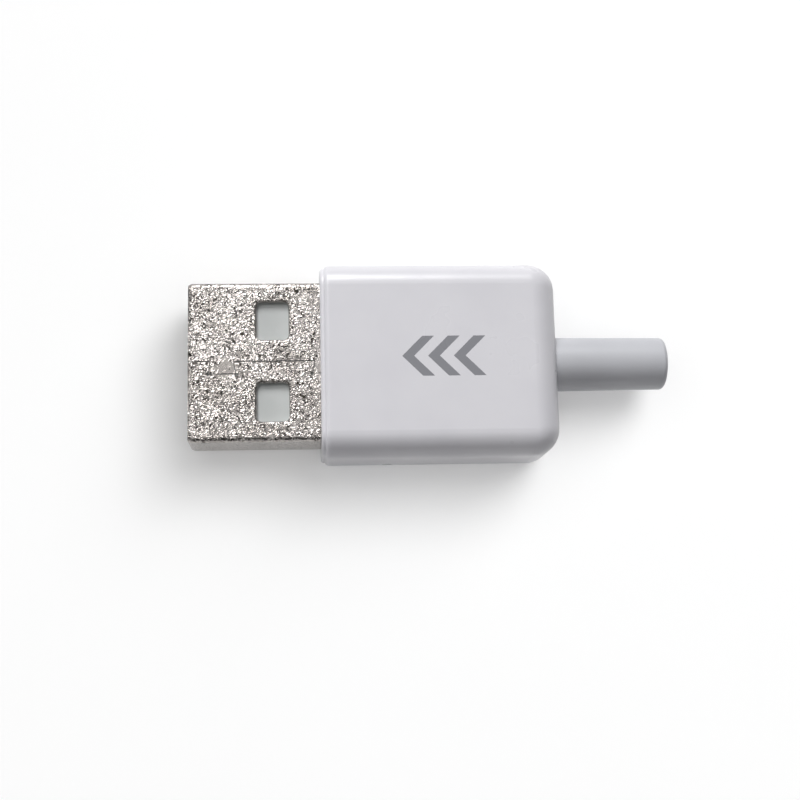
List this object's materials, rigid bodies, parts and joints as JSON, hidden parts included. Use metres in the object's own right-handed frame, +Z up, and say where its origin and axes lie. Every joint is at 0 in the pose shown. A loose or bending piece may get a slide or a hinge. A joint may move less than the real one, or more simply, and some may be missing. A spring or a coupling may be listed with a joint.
{
  "type": "usb-a plug",
  "caption": "Straight USB-A plug for soldering: folded metal shell with a dovetailed seam, boxy moulded hood and a short round tail sleeve.",
  "frame": {"origin": "middle of the plug's outline, on the surface that the hood's flat underside rests on", "axes": "+X runs from the mouth to the tail, +Y across the width, +Z up through the seam face"},
  "size_m": [0.036, 0.0146, 0.0072],
  "materials": {
    "shell_nickel": "bright nickel plate over a finely pebbled sheet",
    "insulator_plastic": "moulded, white",
    "contact_gilt": "gilt, smooth",
    "shield_tin": "dull tin plate",
    "hood_plastic": "moulded, off-white, satin gloss",
    "sleeve_soft": "soft moulded plastic, satin"
  },
  "bodies": {
    "root": {"plug_shell": "shell_nickel", "insulator": "insulator_plastic", "contact_vbus": "contact_gilt", "contact_data_minus": "contact_gilt", "contact_data_plus": "contact_gilt", "contact_ground": "contact_gilt", "shield_lower": "shield_tin", "shield_upper": "shield_tin", "hood": "hood_plastic", "strain_relief_sleeve": "sleeve_soft"}
  },
  "joints": []
}
